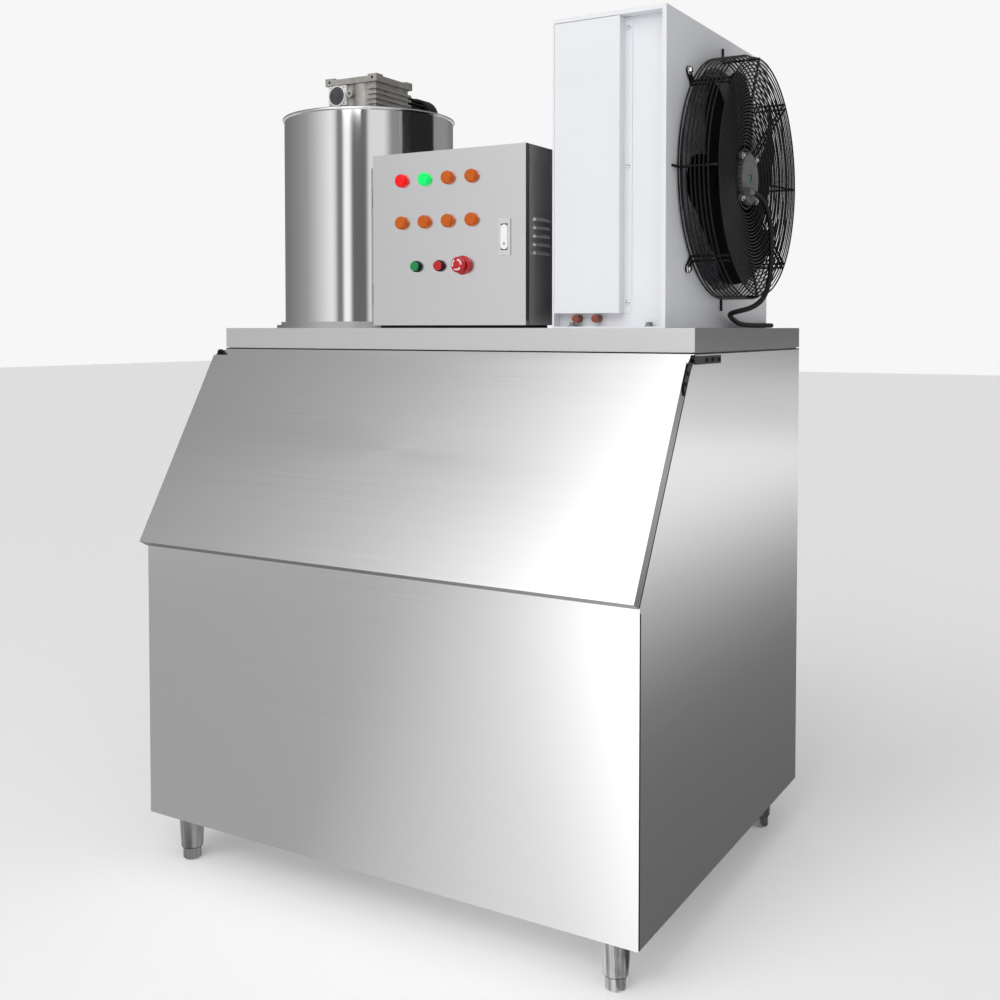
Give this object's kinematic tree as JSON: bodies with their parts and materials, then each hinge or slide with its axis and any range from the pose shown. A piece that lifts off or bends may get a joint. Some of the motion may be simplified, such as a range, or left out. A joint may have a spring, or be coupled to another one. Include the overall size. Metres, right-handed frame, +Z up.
{
  "type": "flake ice machine",
  "caption": "Flake ice machine: stainless ice bin with a sloping lift-up door, ice drum with gear drive, control box and fan-cooled condenser on its slab",
  "frame": {"origin": "On the ground under the middle of the machine's outline, without the fan cable", "axes": "+X to the right seen from the front, +Y to the back, +Z up"},
  "size_m": [1.2423, 0.9658, 1.835],
  "materials": {
    "stainless": "fine brushed",
    "bright_steel": "polished",
    "plain_steel": "machined",
    "cast_alloy": "as cast",
    "cast_dark": "as cast",
    "black_paint": "satin",
    "black_plastic": "moulded",
    "black_rubber": "smooth",
    "white_paint": "satin",
    "white_plastic": "moulded",
    "lens_red": "glossy",
    "lens_green": "glossy",
    "lens_amber": "glossy",
    "button_green": "glossy",
    "button_red": "glossy",
    "copper": "drawn copper"
  },
  "bodies": {
    "machine": {"bin_front": "stainless", "bin_back": "stainless", "bin_left": "stainless", "bin_right": "stainless", "bin_floor": "stainless", "bin_top": "stainless", "bin_header": "stainless", "drum_casing": "stainless", "control_box": "stainless", "leg_sockets": "bright_steel", "casing_bolts": "bright_steel", "drum_base": "plain_steel", "drum_lid": "plain_steel", "control_hinge_pins": "plain_steel", "mounting_plate": "plain_steel", "evaporator": "plain_steel", "reducer_housing": "cast_alloy", "bearing_flange": "cast_alloy", "oil_plug": "cast_alloy", "fan_motor": "cast_alloy", "bottom_bearing": "cast_dark", "bearing_cap": "cast_dark", "hinge_brackets": "black_paint", "hinge_pins": "black_paint", "drive_motor": "black_paint", "motor_cowl": "black_paint", "fan_guard": "black_paint", "compressor": "black_paint", "liquid_receiver": "black_paint", "cable_gland": "black_plastic", "fan_cable": "black_rubber", "condenser_casing": "white_paint", "condenser_cover": "white_paint", "drain_spigot": "white_plastic", "contactors": "white_plastic", "condenser_coil": "copper", "copper_lines": "copper"},
    "bin_door": {"bin_door": "stainless", "door_gasket": "black_rubber", "hinge_straps": "black_paint"},
    "control_door": {"control_door": "stainless", "panel_bezels": "black_plastic", "lamp_red": "lens_red", "lamp_green": "lens_green", "lamps_amber": "lens_amber", "estop_collar": "white_plastic", "lock_plate": "bright_steel"},
    "lock_lever": {"lock_lever": "bright_steel"},
    "start_button": {"start_button": "button_green"},
    "stop_button": {"stop_button": "button_red"},
    "estop_stem": {"estop_stem": "button_red"},
    "estop_head": {"estop_head": "button_red"},
    "fan": {"fan_rotor": "black_plastic"},
    "scraper": {"scraper_shaft": "plain_steel", "ice_blade": "plain_steel", "water_sprinkler": "white_plastic"},
    "foot_front_left": {"foot_front_left": "bright_steel"},
    "foot_front_right": {"foot_front_right": "bright_steel"},
    "foot_rear_left": {"foot_rear_left": "bright_steel"},
    "foot_rear_right": {"foot_rear_right": "bright_steel"}
  },
  "joints": [
    {"name": "bin_door_hinge", "type": "hinge", "parent": "machine", "child": "bin_door", "pos_m": [-0.00422, -0.21925, 1.14601], "axis": [-1, 0, 0], "range_deg": [0, 64]},
    {"name": "control_door_hinge", "type": "hinge", "parent": "machine", "child": "control_door", "pos_m": [-0.17153, -0.18132, 1.399], "axis": [0, 0, -1], "range_deg": [0, 110]},
    {"name": "lock_lever_flip", "type": "hinge", "parent": "control_door", "child": "lock_lever", "pos_m": [0.17278, -0.19632, 1.413], "axis": [-1, 0, 0], "range_deg": [0, 70]},
    {"name": "start_press", "type": "slide", "parent": "control_door", "child": "start_button", "axis": [0, 1, 0], "range_m": [0, 0.003], "stiffness_N_per_m": 400},
    {"name": "stop_press", "type": "slide", "parent": "control_door", "child": "stop_button", "axis": [0, 1, 0], "range_m": [0, 0.003], "stiffness_N_per_m": 400},
    {"name": "estop_press", "type": "slide", "parent": "control_door", "child": "estop_stem", "axis": [0, 1, 0], "range_m": [0, 0.005], "stiffness_N_per_m": 900},
    {"name": "estop_twist", "type": "hinge", "parent": "estop_stem", "child": "estop_head", "pos_m": [0.06878, -0.21282, 1.339], "axis": [0, 1, 0], "range_deg": [0, 45], "stiffness_Nm_per_rad": 0.1},
    {"name": "fan_spin", "type": "hinge", "parent": "machine", "child": "fan", "pos_m": [0.52377, 0.13287, 1.525], "axis": [1, 0, 0], "continuous": true},
    {"name": "scraper_spin", "type": "hinge", "parent": "machine", "child": "scraper", "pos_m": [-0.35823, 0.04618, 1.405], "axis": [0, 0, 1], "continuous": true},
    {"name": "front_left_foot_screw", "type": "slide", "parent": "machine", "child": "foot_front_left", "axis": [0, 0, -1], "range_m": [0, 0.03]},
    {"name": "front_right_foot_screw", "type": "slide", "parent": "machine", "child": "foot_front_right", "axis": [0, 0, -1], "range_m": [0, 0.03]},
    {"name": "rear_left_foot_screw", "type": "slide", "parent": "machine", "child": "foot_rear_left", "axis": [0, 0, -1], "range_m": [0, 0.03]},
    {"name": "rear_right_foot_screw", "type": "slide", "parent": "machine", "child": "foot_rear_right", "axis": [0, 0, -1], "range_m": [0, 0.03]}
  ]
}
